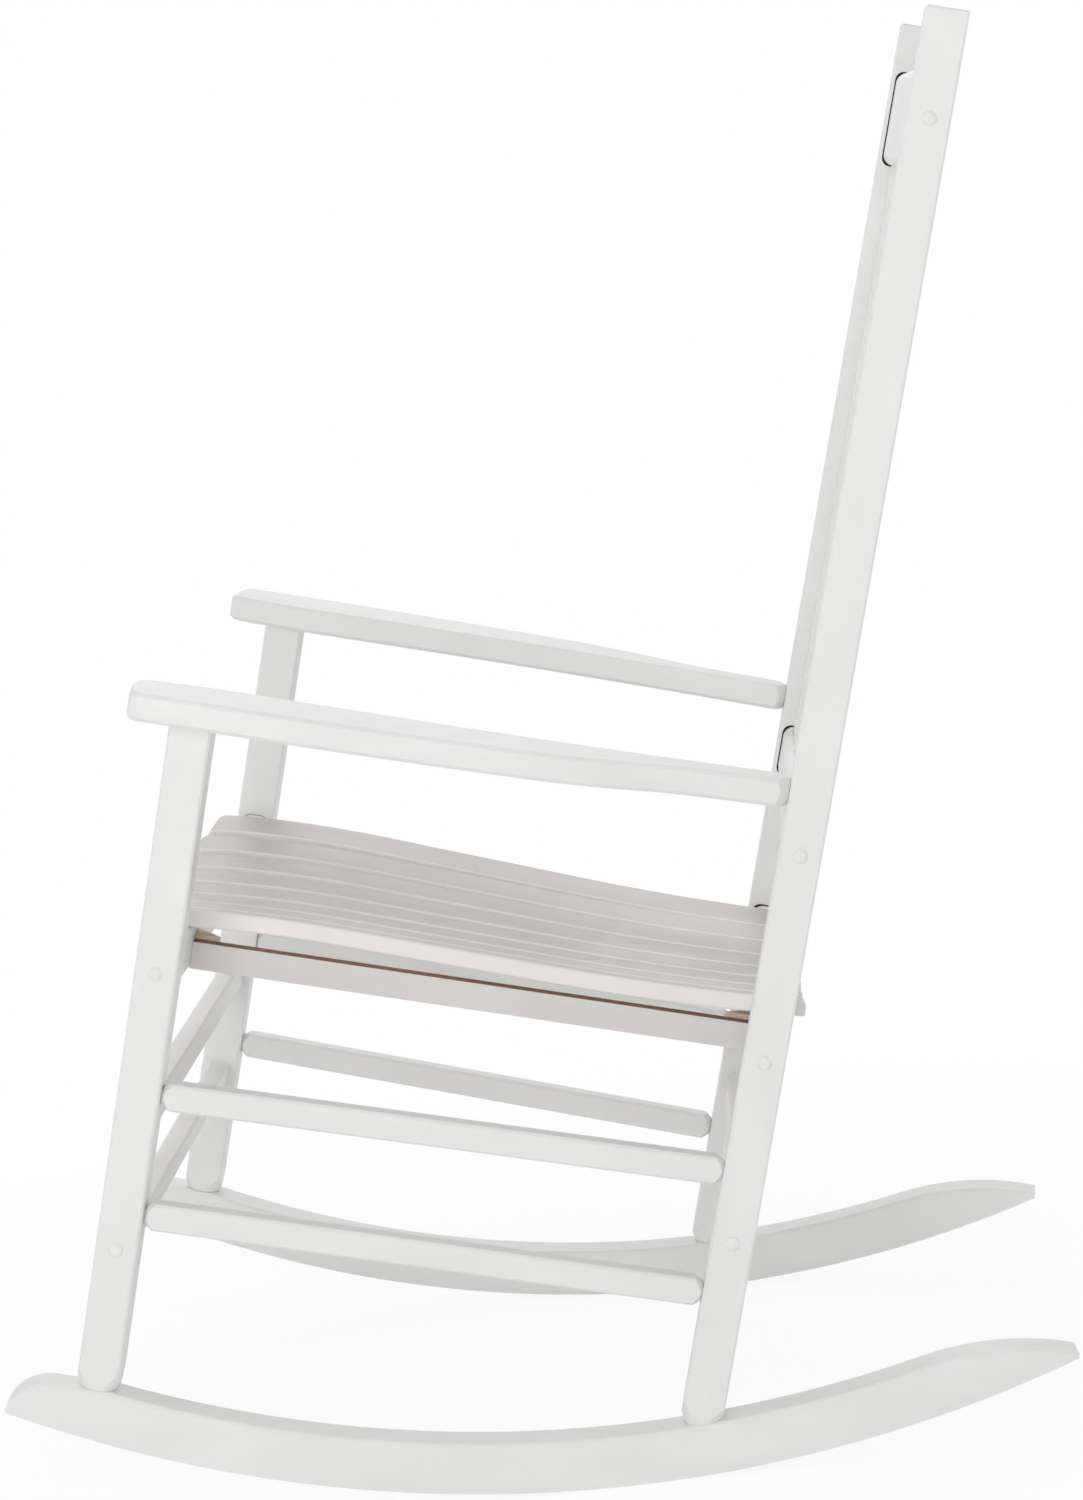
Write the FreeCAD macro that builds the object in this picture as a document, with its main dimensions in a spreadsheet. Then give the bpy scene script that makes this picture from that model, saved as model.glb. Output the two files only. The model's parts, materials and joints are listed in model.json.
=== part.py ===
import FreeCAD, Part
import math
import os
import Sketcher
from FreeCAD import Placement, Rotation, Vector

# Porch rocking chair of painted hardwood.
# Frame: +Z up, the chair faces -Y, +X is the sitter's left. The origin is on the
# floor under the middle of the chair. The pieces are drawn with the seat raised and
# the rockers' middle on the floor, then rolled back as one to the empty chair's rest.
# Names ending in left or right are the sitter's.

DIMENSIONS = {
    # Square stock of the four uprights and the way they lean back
    "upright_width": 33.0,
    "upright_depth": 33.0,
    "upright_edge_ease": 1.8,
    "upright_top_ease": 1.5,
    "leg_lean": 9.0,
    "post_lean": 9.2,
    "leg_center_x": 284.0,
    "post_center_x": 249.0,
    "leg_foot_y": -305.5,
    "post_foot_y": 168.7,
    "post_length": 1111.0,
    # Turned feet of the uprights and their tenons in the rockers
    "foot_radius": 14.5,
    "foot_corner_radius": 24.0,
    "foot_corner_rise": 20.0,
    "foot_tenon_root": 8.0,
    "foot_tenon_width": 16.0,
    "foot_tenon_length": 24.0,
    # Rockers: concentric arcs, closed by a blunt nose and a long swept tail
    "rocker_radius": 1057.0,
    "rocker_depth": 41.0,
    "rocker_thickness": 33.0,
    "rocker_edge_ease": 2.5,
    "rocker_front_reach": 380.0,
    "rocker_rear_reach": 465.0,
    "rocker_nose_radius": 36.0,
    "leg_pad_start": 296.0,
    "rocker_nose_run": 39.0,
    "rocker_tail_start": 345.0,
    "rocker_tail_radius": 236.0,
    "rocker_tail_drop": 4.0,
    # Heights along the back post, from its foot on the rocker
    "rear_seat_rail_rise": 297.6,
    "rear_stretcher_rise": 150.5,
    "lower_back_rail_rise": 463.4,
    "crest_rail_drop": 82.0,
    "arm_tenon_rise": 509.0,
    "upper_side_stretcher_post_rise": 204.5,
    "lower_side_stretcher_post_rise": 104.9,
    # Heights along the front leg, from its foot on the rocker
    "front_seat_rail_rise": 340.0,
    "upper_front_stretcher_rise": 211.8,
    "lower_front_stretcher_rise": 116.7,
    "upper_side_stretcher_leg_rise": 241.6,
    "lower_side_stretcher_leg_rise": 144.4,
    # Cross rails with rounded edges, housed in the uprights
    "rail_thickness": 25.0,
    "rail_edge_radius": 9.0,
    "crest_rail_height": 80.0,
    "lower_back_rail_height": 44.0,
    "seat_rail_height": 44.0,
    "rail_tenon_length": 10.0,
    "mortise_clearance": 0.6,
    # Stretchers
    "stretcher_height": 22.0,
    "stretcher_thickness": 18.0,
    "stretcher_edge_ease": 2.0,
    "stretcher_tenon_width": 9.6,
    "stretcher_end_radius": 7.5,
    "stretcher_corner_radius": 15.0,
    "stretcher_turning": 9.0,
    "stretcher_tenon_length": 18.0,
    # Arms
    "arm_slope": 8.64,
    "arm_thickness": 22.0,
    "arm_length": 509.0,
    "arm_outer_reach": 82.0,
    "arm_inner_reach": 3.5,
    "arm_rear_half_width": 16.0,
    "arm_edge_ease": 3.0,
    "arm_turning": 12.0,
    "arm_end_radius": 9.8,
    "arm_corner_radius": 22.0,
    "arm_tenon_width": 12.0,
    "arm_tenon_length": 20.0,
    "leg_tenon_width": 16.0,
    "leg_tenon_length": 13.0,
    # Back slats
    "back_slat_count": 9,
    "back_slat_width": 32.0,
    "back_slat_thickness": 10.0,
    "back_slat_pitch": 49.3,
    "back_slat_tenon": 10.0,
    "back_slat_edge_ease": 2.0,
    # Seat: fanned slats on two scooped rails
    "seat_slat_count": 8,
    "seat_slat_width": 41.5,
    "seat_slat_thickness": 13.6,
    "seat_half_width_front": 210.3,
    "seat_half_width_rear": 175.4,
    "seat_scoop_radius": 1100.0,
    "seat_scoop_depth": 23.6,
    "rear_scoop_depth": 18.2,
    "seat_front_overhang": 28.0,
    "seat_front_bow": 14.0,
    "seat_rear_overhang": 29.0,
    "seat_front_rise": 0.085,
    "seat_middle_fall": 0.028,
    "seat_rear_rise": 0.05,
    "seat_crest_span": 122.0,
    "seat_dip_span": 166.0,
    "seat_nose_radius": 10.5,
    "seat_tail_radius": 7.0,
    "slat_seat_clearance": 0.3,
    # Side rails and glue blocks under the seat
    "side_rail_height": 22.0,
    "side_rail_thickness": 14.0,
    "side_rail_front_x": 192.0,
    "side_rail_rear_x": 154.0,
    "side_rail_front_lift": 4.5,
    "side_rail_rear_lift": 3.0,
    "corner_block_leg": 20.0,
    "corner_block_height": 26.0,
    # Button plugs on the uprights
    "plug_radius": 6.2,
    "plug_top_radius": 3.6,
    "plug_rise": 2.2,
    # How far the empty chair rolls back until its weight is over the floor contact
    "rest_lean": 6.3,
    # Fits
    "tenon_clearance": 0.25,
    "tenon_end_gap": 1.0,
    "shoulder_clearance": 0.1,
    "block_clearance": 0.2,
}

doc = FreeCAD.newDocument("rocking_chair")
sheet = doc.addObject("Spreadsheet::Sheet", "Dimensions")
for row, (name, value) in enumerate(DIMENSIONS.items(), start=1):
    sheet.set("A%d" % row, name)
    sheet.set("B%d" % row, str(value))
    sheet.setAlias("B%d" % row, name)
doc.recompute()


class Size:
    """A length or ratio that keeps its value and its formula on the sheet."""

    def __init__(self, value, text):
        self.value = float(value)
        self.text = text

    def _join(self, other, sign, value, swap=False):
        other = as_size(other)
        first, second = (other, self) if swap else (self, other)
        return Size(value, "(%s %s %s)" % (first.text, sign, second.text))

    def __add__(self, other):
        return self._join(other, "+", self.value + as_size(other).value)

    def __radd__(self, other):
        return self._join(other, "+", self.value + as_size(other).value, True)

    def __sub__(self, other):
        return self._join(other, "-", self.value - as_size(other).value)

    def __rsub__(self, other):
        return self._join(other, "-", as_size(other).value - self.value, True)

    def __mul__(self, other):
        return self._join(other, "*", self.value * as_size(other).value)

    def __rmul__(self, other):
        return self._join(other, "*", self.value * as_size(other).value, True)

    def __truediv__(self, other):
        return self._join(other, "/", self.value / as_size(other).value)

    def __rtruediv__(self, other):
        return self._join(other, "/", as_size(other).value / self.value, True)

    def __neg__(self):
        return Size(-self.value, "(0 - %s)" % self.text)


def as_size(number):
    """A plain number becomes a Size with itself as its formula."""
    if isinstance(number, Size):
        return number
    return Size(number, "(%s)" % repr(float(number)))


def size(name):
    """A driving dimension as a Size bound to its cell."""
    return Size(getattr(sheet, name), "Dimensions.%s" % name)


def mm(name):
    """A driving dimension as a plain number."""
    return float(getattr(sheet, name))


def bind(item, prop, length):
    """Set a property to a Size and tie it to the sheet."""
    length = as_size(length)
    setattr(item, prop, length.value)
    item.setExpression(prop, length.text)


# Sketches and bodies

def new_body(name):
    return doc.addObject("PartDesign::Body", name)


def origin_feature(body, role):
    for feature in body.Origin.OriginFeatures:
        if feature.Role == role:
            return feature
    raise ValueError("no origin feature " + role)


def arc_middle(start, end, radius, side):
    """Middle of the minor arc from start to end; side 1 bulges to the right of the way."""
    chord = end - start
    half = chord.Length / 2
    sagitta = radius - math.sqrt(max(radius * radius - half * half, 0.0))
    right = Vector(chord.y, -chord.x, 0).normalize()
    return (start + end) * 0.5 + right * (sagitta * side)


def new_sketch(body, name, plane, offset=None):
    sketch = body.newObject("Sketcher::SketchObject", name)
    sketch.AttachmentSupport = [(origin_feature(body, plane), "")]
    sketch.MapMode = "FlatFace"
    if offset is not None:
        sketch.AttachmentOffset = Placement(Vector(0, 0, offset.value), Rotation())
        sketch.setExpression("AttachmentOffset.Base.z", offset.text)
    return sketch


def draw_outline(body, name, plane, corners, offset=None):
    """Closed outline. A corner is (x, y), or (x, y, radius, side) when an arc leads to it."""
    sketch = new_sketch(body, name, plane, offset)
    corners = [tuple(as_size(v) for v in c[:2]) + tuple(c[2:]) for c in corners]
    points = [Vector(c[0].value, c[1].value, 0) for c in corners]
    ends = []
    for index, corner in enumerate(corners):
        start, end = points[index - 1], points[index]
        if len(corner) == 2:
            geo = sketch.addGeometry(Part.LineSegment(start, end), False)
        else:
            middle = arc_middle(start, end, as_size(corner[2]).value, corner[3])
            geo = sketch.addGeometry(Part.Arc(start, middle, end), False)
        forward = (sketch.getPoint(geo, 2) - end).Length < 1e-6
        ends.append((geo, 1 if forward else 2, 2 if forward else 1))
    for index, corner in enumerate(corners):
        geo, first, last = ends[index]
        before, _, before_last = ends[index - 1]
        sketch.addConstraint(Sketcher.Constraint("Coincident", before, before_last, geo, first))
    for index, corner in enumerate(corners):
        geo, first, last = ends[index]
        for kind, length in (("DistanceX", corner[0]), ("DistanceY", corner[1])):
            number = sketch.addConstraint(
                Sketcher.Constraint(kind, -1, 1, geo, last, length.value))
            sketch.setExpression("Constraints[%d]" % number, length.text)
        if len(corner) > 2:
            radius = as_size(corner[2])
            number = sketch.addConstraint(Sketcher.Constraint("Radius", geo, radius.value))
            sketch.setExpression("Constraints[%d]" % number, radius.text)
    return sketch


def rectangle(width, height):
    """Corners of a rectangle about the sketch's origin."""
    x, y = as_size(width) / 2, as_size(height) / 2
    return [(-x, -y), (x, -y), (x, y), (-x, y)]


def rounded_rectangle(width, height, radius):
    """Corners of a rectangle about the sketch's origin, with quarter-round corners."""
    x, y, r = as_size(width) / 2, as_size(height) / 2, as_size(radius)
    return [
        (r - x, -y), (x - r, -y), (x, r - y, r, 1),
        (x, y - r), (x - r, y, r, 1),
        (r - x, y), (-x, y - r, r, 1),
        (-x, r - y), (r - x, -y, r, 1),
    ][1:]


def pad(body, sketch, length, both_ways=False):
    feature = body.newObject("PartDesign::Pad", sketch.Name + "_pad")
    feature.Profile = sketch
    if both_ways:
        feature.SideType = "Symmetric"
    bind(feature, "Length", length)
    doc.recompute()
    return feature


def turn_down(body, sketch, axis):
    """Lathe cut of the outline about an axis of the sketch."""
    before = body.Shape.Volume
    feature = body.newObject("PartDesign::Groove", sketch.Name + "_groove")
    feature.Profile = sketch
    feature.ReferenceAxis = (sketch, [axis])
    feature.Angle = 360
    doc.recompute()
    if not body.Shape.Volume < before:
        raise RuntimeError(sketch.Name + " turned nothing away")
    return feature


def ease_edges(body, width, wanted):
    """Narrow chamfer on the edges of the body's tip that the test picks."""
    tip = body.Tip
    names = ["Edge%d" % (i + 1) for i, e in enumerate(tip.Shape.Edges) if wanted(e)]
    feature = body.newObject("PartDesign::Chamfer", tip.Name + "_ease")
    feature.Base = (tip, names)
    bind(feature, "Size", width)
    doc.recompute()
    return feature


def runs_along(axis, span):
    """Test for straight edges along an axis, at least as long as the span."""
    def test(edge):
        if len(edge.Vertexes) != 2:
            return False
        way = edge.Vertexes[1].Point - edge.Vertexes[0].Point
        return abs(way.dot(axis)) > span and abs(way.dot(axis)) > 0.999 * way.Length
    return test


# Tools, cuts and nodes

PIECES = {}
CUTS = {}


def piece(name, item):
    """Register the object that stands for a piece before its holes are cut."""
    PIECES[name] = item
    CUTS.setdefault(name, [])
    return item


def cut_from(name, tool):
    CUTS.setdefault(name, []).append(tool)


def cylinder(name, radius, height, placement):
    tool = doc.addObject("Part::Cylinder", name)
    bind(tool, "Radius", radius)
    bind(tool, "Height", height)
    tool.Placement = placement
    return tool


def box(name, length, width, height, placement):
    """Box centred on its placement."""
    tool = doc.addObject("Part::Box", name)
    bind(tool, "Length", length)
    bind(tool, "Width", width)
    bind(tool, "Height", height)
    middle = Vector(as_size(length).value, as_size(width).value, as_size(height).value) * -0.5
    tool.Placement = placement * Placement(middle, Rotation())
    return tool


def fuse(name, items):
    joined = doc.addObject("Part::MultiFuse", name)
    joined.Shapes = items
    joined.Refine = True
    doc.recompute()
    return joined


def tenon(name, target, width, length, placement):
    """Square tenon along the placement's +Z, and the blind mortise it enters in the target."""
    opening = width + size("tenon_clearance") * 2
    depth = length + size("tenon_end_gap")
    cut_from(target, box(name + "_mortise", opening, opening, depth,
                         along(placement, depth.value / 2)))
    return box(name, width, width, length, along(placement, as_size(length).value / 2))


def finish(name):
    """Cut a piece's holes and label the result with the node's name."""
    item = PIECES[name]
    tools = CUTS[name]
    if tools:
        cut = doc.addObject("Part::Cut", name + "_cut")
        cut.Base = item
        cut.Tool = tools[0] if len(tools) == 1 else fuse(name + "_holes", tools)
        item.Label = name + "_blank"
        item = cut
    item.Label = name
    item.Placement = REST * item.Placement
    doc.recompute()
    return item


# Places of the main lines

def frame_of(x, y, z, lean):
    """Frame at a distance behind the floor contact, whose Z axis leans back by the angle."""
    return Placement(Vector(x, CONTACT_Y + y, z), Rotation(Vector(1, 0, 0), -lean))


def along(frame, distance):
    """The frame moved along its own Z axis."""
    return frame * Placement(Vector(0, 0, distance), Rotation())


def aimed(start, end):
    """Frame at start whose Z axis points to end and whose Y axis points as far up as it can."""
    z_axis = (end - start).normalize()
    up = Vector(0, 0, 1)
    y_axis = (up - z_axis * up.dot(z_axis)).normalize()
    x_axis = y_axis.cross(z_axis)
    return Placement(start, Rotation(x_axis, y_axis, z_axis, "ZYX"))


SIDES = {"left": 1, "right": -1}

SPLAY = math.degrees(math.atan2(
    mm("leg_center_x") - mm("post_center_x"), mm("post_foot_y") - mm("leg_foot_y")))


TAIL_LEAN = 1.0
CONTACT_Y = (mm("rocker_front_reach") - mm("rocker_rear_reach") - TAIL_LEAN) / 2 \
    * math.cos(math.radians(SPLAY))


def rocker_distance(y):
    """Distance along a rocker of a point that lies at y behind the floor contact."""
    return y / math.cos(math.radians(SPLAY))


def rocker_middle_x():
    """Distance from the chair's middle plane to a rocker's, at the floor contact."""
    return mm("post_center_x") + mm("post_foot_y") * math.tan(math.radians(SPLAY))


def rocker_top(y):
    """Height of the rockers' upper arc at y."""
    inner = mm("rocker_radius") - mm("rocker_depth")
    return mm("rocker_radius") - math.sqrt(inner ** 2 - rocker_distance(y) ** 2)


def leg_pad_top(y):
    """Height at y of the flat that each rocker offers its front leg."""
    start = mm("leg_pad_start") * math.cos(math.radians(SPLAY))
    return rocker_top(start) + (-y - start) * math.tan(math.radians(mm("leg_lean")))


LEG_FOOT_Z = leg_pad_top(mm("leg_foot_y"))
POST_FOOT_Z = rocker_top(mm("post_foot_y"))


def leg_frame(side):
    x = side * mm("leg_center_x")
    return frame_of(x, mm("leg_foot_y"), LEG_FOOT_Z, mm("leg_lean"))


def post_frame(side):
    x = side * mm("post_center_x")
    return frame_of(x, mm("post_foot_y"), POST_FOOT_Z, mm("post_lean"))


def cross_frame(upright, rise):
    """Frame at the middle of the chair, level with a place on the uprights."""
    frame = along(upright(1), rise)
    frame.Base = Vector(0, frame.Base.y, frame.Base.z)
    return frame


def arm_frame(side):
    """Frame of an arm at its rear shoulder: Y runs back along the arm, Z out of its top."""
    face = along(post_frame(side), mm("arm_tenon_rise"))
    front = face.multVec(Vector(0, -mm("upright_depth") / 2, 0))
    back_off = (mm("shoulder_clearance") + mm("arm_end_radius")
                * math.sin(math.radians(mm("post_lean") - mm("arm_slope"))))
    turn = Rotation(Vector(1, 0, 0), -mm("arm_slope"))
    return Placement(front + turn.multVec(Vector(0, -back_off, 0)), turn)


def leg_top_rise():
    """Distance along the leg from its foot to the arm's underside."""
    leg = leg_frame(1)
    arm = arm_frame(1)
    normal = arm.Rotation.multVec(Vector(0, 0, 1))
    under = arm.multVec(Vector(0, 0, -mm("arm_thickness") / 2))
    axis = leg.Rotation.multVec(Vector(0, 0, 1))
    reach = (under - leg.Base).dot(normal) / axis.dot(normal)
    slip = mm("upright_depth") / 2 * math.tan(math.radians(abs(mm("leg_lean") - mm("arm_slope"))))
    return reach - slip - mm("shoulder_clearance")


LEG_LENGTH = leg_top_rise()


# Uprights

FOOT_SPARE = 3.0


def foot_outline():
    """What the lathe takes off a foot: outside a cone, in (radius, height)."""
    corner, rise = size("foot_corner_radius"), size("foot_corner_rise")
    outside = corner + 4
    taper = (corner - size("foot_radius")) / rise
    return [
        (size("foot_radius") - taper * FOOT_SPARE * 2, FOOT_SPARE * -2),
        (outside, FOOT_SPARE * -2),
        (outside, rise),
        (corner, rise),
    ]


def upright(name, frame, length, start, top_eased):
    """Square upright from a start on its own axis, with its foot turned round."""
    body = new_body(name + "_stick")
    stock = rectangle(size("upright_width"), size("upright_depth"))
    start = as_size(start)
    sketch = draw_outline(body, name + "_stock", "XY_Plane", stock, start)
    pad(body, sketch, as_size(length) - start)
    ease_edges(body, size("upright_edge_ease"), runs_along(Vector(0, 0, 1), length * 0.9))
    if top_eased:
        top = body.Tip.Shape.BoundBox.ZMax
        ease_edges(body, size("upright_top_ease"), lambda e: e.BoundBox.ZMin > top - 0.01)
    turned = draw_outline(body, name + "_turning", "XZ_Plane", foot_outline())
    turn_down(body, turned, "V_Axis")
    body.Placement = frame
    return body


def rocker_hollow(name, side):
    """Cylinder that fills the space above a rocker's upper arc."""
    radius = size("rocker_radius") - size("rocker_depth") - size("shoulder_clearance")
    width = as_size(400)
    across = Rotation(Vector(0, 0, 1), side * SPLAY).multVec(Vector(1, 0, 0))
    center = Vector(side * rocker_middle_x(), CONTACT_Y, mm("rocker_radius"))
    base = center - across * (width.value / 2)
    turn = Rotation(Vector(0, 0, 1), across)
    return cylinder(name, radius, width, Placement(base, turn))


def foot_tenon(name, word, frame):
    """Tenon that an upright's foot sends down into its rocker."""
    start = along(frame, mm("foot_tenon_root"))
    downward = start * Placement(Vector(), Rotation(Vector(1, 0, 0), 180))
    reach = size("foot_tenon_length") + size("foot_tenon_root")
    return tenon(name + "_foot_tenon", "rocker_" + word, size("foot_tenon_width"), reach, downward)


def back_post(word, side):
    """Post whose round foot is coped to the rocker's curve."""
    name = "back_post_" + word
    frame = post_frame(side)
    stick = upright(name, frame, mm("post_length"), -FOOT_SPARE, True)
    coped = doc.addObject("Part::MultiCommon", name + "_coped")
    coped.Shapes = [stick, rocker_hollow(name + "_cope", side)]
    piece(name, fuse(name + "_whole", [coped, foot_tenon(name, word, frame)]))


def front_leg(word, side):
    """Leg that stands square on the flat of the rocker and carries the arm on a tenon."""
    name = "front_leg_" + word
    frame = leg_frame(side)
    stick = upright(name, frame, LEG_LENGTH, size("shoulder_clearance") * 2, False)
    top = along(frame, LEG_LENGTH - mm("shoulder_clearance"))
    head = tenon(name + "_arm_tenon", "arm_" + word, size("leg_tenon_width"),
                 size("leg_tenon_length"), top)
    piece(name, fuse(name + "_whole", [stick, foot_tenon(name, word, frame), head]))


# Rockers

def rocker_outline():
    """Side view in (distance along the rocker, height)."""
    radius = size("rocker_radius")
    depth = size("rocker_depth")
    inner = radius - depth

    def on_arc(reach, arc):
        """Height of a point on an arc about the rocking centre."""
        root = math.sqrt(arc.value ** 2 - reach.value ** 2)
        text = "(%s - sqrt((%s)^2 - (%s)^2))" % (radius.text, arc.text, reach.text)
        return Size(radius.value - root, text)

    front, rear = size("rocker_front_reach"), size("rocker_rear_reach")
    pad_start, pad_end = size("leg_pad_start"), front - size("rocker_nose_run")
    pad_slope = Size(math.tan(math.radians(mm("leg_lean"))), "tan(Dimensions.leg_lean)")
    pad_low = on_arc(pad_start, inner)
    tail = size("rocker_tail_start")
    return [
        (0, 0, radius, 1),
        (rear, on_arc(rear, radius), radius, 1),
        (rear + TAIL_LEAN, on_arc(rear, radius) + size("rocker_tail_drop")),
        (tail, on_arc(tail, inner), size("rocker_tail_radius"), 1),
        (0, depth, inner, -1),
        (-pad_start, pad_low, inner, -1),
        (-pad_end, pad_low + (pad_end - pad_start) * pad_slope),
        (-front, on_arc(front, radius), size("rocker_nose_radius"), 1),
    ]


def rocker(word, side):
    name = "rocker_" + word
    body = new_body(name + "_plank")
    sketch = draw_outline(body, name + "_side", "YZ_Plane", rocker_outline())
    pad(body, sketch, size("rocker_thickness"), both_ways=True)
    half = mm("rocker_thickness") / 2

    def upper(edge):
        span = edge.BoundBox
        on_face = span.XLength < 0.01 and abs(abs(span.XMin) - half) < 0.01
        middle = edge.CenterOfMass
        return on_face and middle.z > rocker_underside(middle.y) + 10

    ease_edges(body, size("rocker_edge_ease"), upper)
    place = Vector(side * rocker_middle_x(), CONTACT_Y, 0)
    body.Placement = Placement(place, Rotation(Vector(0, 0, 1), side * SPLAY))
    piece(name, body)


def rocker_underside(distance):
    return mm("rocker_radius") - math.sqrt(mm("rocker_radius") ** 2 - distance ** 2)


# Cross rails

def bar(name, frame, length, thickness, height, radius):
    """Rail along X with quarter-round long edges."""
    body = new_body(name)
    sketch = draw_outline(body, name + "_section", "YZ_Plane",
                          rounded_rectangle(thickness, height, radius))
    pad(body, sketch, length, both_ways=True)
    body.Placement = frame
    return body


def housed_rail(name, upright_frame, rise, height, uprights, center_x):
    """Rail whose ends sit in mortises of the same section, cut with a clearance."""
    frame = cross_frame(upright_frame, rise)
    clear = size("mortise_clearance")
    half_span = size(center_x) - size("upright_width") / 2 + size("rail_tenon_length")
    rail = bar(name + "_bar", frame, half_span * 2, size("rail_thickness"), height,
               size("rail_edge_radius"))
    for word, side in SIDES.items():
        reach = size("rail_tenon_length") * 2
        middle = side * (half_span.value - reach.value / 2)
        mortise = bar("%s_mortise_%s" % (name, word),
                      frame * Placement(Vector(middle, 0, 0), Rotation()), reach,
                      size("rail_thickness") + clear * 2, height + clear * 2,
                      size("rail_edge_radius") + clear)
        cut_from(uprights + word, mortise)
    piece(name, rail)
    return frame


def scoop(name, frame, height, depth, slope):
    """Hollow the top of a seat rail with a wide cylinder that follows the slats' slope."""
    radius = size("seat_scoop_radius")
    length = as_size(200)
    axis = Vector(0, math.cos(math.radians(slope)), -math.sin(math.radians(slope)))
    up = Vector(0, -axis.z, axis.y)
    bottom = frame.multVec(Vector(0, 0, height / 2 - depth))
    center = bottom + up * radius.value - axis * (length.value / 2)
    cut_from(name, cylinder(name + "_scoop", radius, length,
                            Placement(center, Rotation(Vector(0, 0, 1), axis))))
    return bottom, up


def slat_slots(name, frame, face_z, downward):
    """Row of blind slots for the ends of the back slats."""
    clear = size("mortise_clearance") / 2
    count = int(mm("back_slat_count"))
    for index in range(count):
        x = (index - (count - 1) / 2) * mm("back_slat_pitch")
        depth = size("back_slat_tenon") + size("shoulder_clearance")
        center = face_z + (-depth.value / 2 if downward else depth.value / 2)
        place = frame * Placement(Vector(x, 0, center), Rotation())
        cut_from(name, box("%s_slot_%d" % (name, index + 1),
                           size("back_slat_width") + clear * 2,
                           size("back_slat_thickness") + clear * 2, depth, place))


def back_slats(lower_frame, crest_frame):
    """Straight slats with eased edges, housed in both back rails."""
    low = lower_frame.multVec(Vector(0, 0, mm("lower_back_rail_height") / 2))
    high = crest_frame.multVec(Vector(0, 0, -mm("crest_rail_height") / 2))
    clear_span = as_size((high - low).Length)
    length = clear_span + size("back_slat_tenon") * 2
    count = int(mm("back_slat_count"))
    for index in range(count):
        name = "back_slat_%d" % (index + 1)
        body = new_body(name + "_board")
        section = rectangle(size("back_slat_width"), size("back_slat_thickness"))
        sketch = draw_outline(body, name + "_section", "XY_Plane", section)
        pad(body, sketch, length)
        ease_edges(body, size("back_slat_edge_ease"),
                   runs_along(Vector(0, 0, 1), length.value * 0.9))
        x = (index - (count - 1) / 2) * mm("back_slat_pitch")
        start = mm("lower_back_rail_height") / 2 - mm("back_slat_tenon")
        body.Placement = lower_frame * Placement(Vector(x, 0, start), Rotation())
        piece(name, body)


# Stretchers

def stick(name, frame, length):
    """Rectangular stick along Z with eased edges."""
    body = new_body(name + "_stick")
    section = rectangle(size("stretcher_thickness"), size("stretcher_height"))
    sketch = draw_outline(body, name + "_section", "XY_Plane", section)
    pad(body, sketch, length)
    ease_edges(body, size("stretcher_edge_ease"),
               runs_along(Vector(0, 0, 1), as_size(length).value * 0.9))
    body.Placement = frame
    return body


def turned_shoulder(body, name, end, sign):
    """Lathe taper at a stick's end; sign is 1 at its start and -1 at its far end."""
    radius, corner = size("stretcher_end_radius"), size("stretcher_corner_radius")
    run = size("stretcher_turning")
    spare = 2.0
    outside = corner + 6
    taper = (corner - radius) / run
    outline = [
        (radius - taper * spare, end - sign * spare),
        (outside, end - sign * spare),
        (outside, end + run * sign),
        (corner, end + run * sign),
    ]
    if sign < 0:
        outline = outline[::-1]
    turn_down(body, draw_outline(body, name, "XZ_Plane", outline), "V_Axis")


def tenoned_stick(name, start, end, start_name, end_name, set_back):
    """Stick between two uprights' centre lines, tapered and tenoned into both."""
    line = aimed(start, end)
    set_back = set_back + mm("shoulder_clearance")
    length = as_size((end - start).Length - 2 * set_back)
    first = along(line, set_back)
    body = stick(name, first, length)
    turned_shoulder(body, name + "_front_taper", as_size(0), 1)
    turned_shoulder(body, name + "_rear_taper", length, -1)
    inside = 3.0
    width = size("stretcher_tenon_width")
    reach = size("stretcher_tenon_length") + inside
    front_way = along(first, inside) * Placement(Vector(), Rotation(Vector(1, 0, 0), 180))
    rear_way = along(first, length.value - inside)
    front = tenon(name + "_front_tenon", start_name, width, reach, front_way)
    rear = tenon(name + "_rear_tenon", end_name, width, reach, rear_way)
    piece(name, fuse(name + "_whole", [body, front, rear]))


def side_stretcher(level, word, side):
    name = "%s_side_stretcher_%s" % (level, word)
    start = along(leg_frame(side), mm(level + "_side_stretcher_leg_rise")).Base
    end = along(post_frame(side), mm(level + "_side_stretcher_post_rise")).Base
    splay = math.radians(SPLAY)
    set_back = mm("upright_depth") / 2 / math.cos(splay) + mm("stretcher_end_radius") * math.tan(splay)
    tenoned_stick(name, start, end, "front_leg_" + word, "back_post_" + word, set_back)


def front_tenoned_stretcher():
    name = "upper_front_stretcher"
    rise = mm("upper_front_stretcher_rise")
    start = along(leg_frame(-1), rise)
    end = along(leg_frame(1), rise)
    set_back = mm("upright_width") / 2
    tenoned_stick(name, start.Base, end.Base, "front_leg_right", "front_leg_left", set_back)


def butted_stretcher(name, upright_frame, rise, center_x):
    """Cross stretcher that butts square between two uprights, under a plug on each."""
    middle = cross_frame(upright_frame, mm(rise))
    length = (size(center_x) - size("upright_width") / 2) * 2
    across = Placement(Vector(), Rotation(Vector(0, 1, 0), Vector(0, 0, 1),
                                          Vector(1, 0, 0), "ZYX"))
    frame = along(middle * across, -length.value / 2)
    piece(name, stick(name, frame, length))


# Arms

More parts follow.
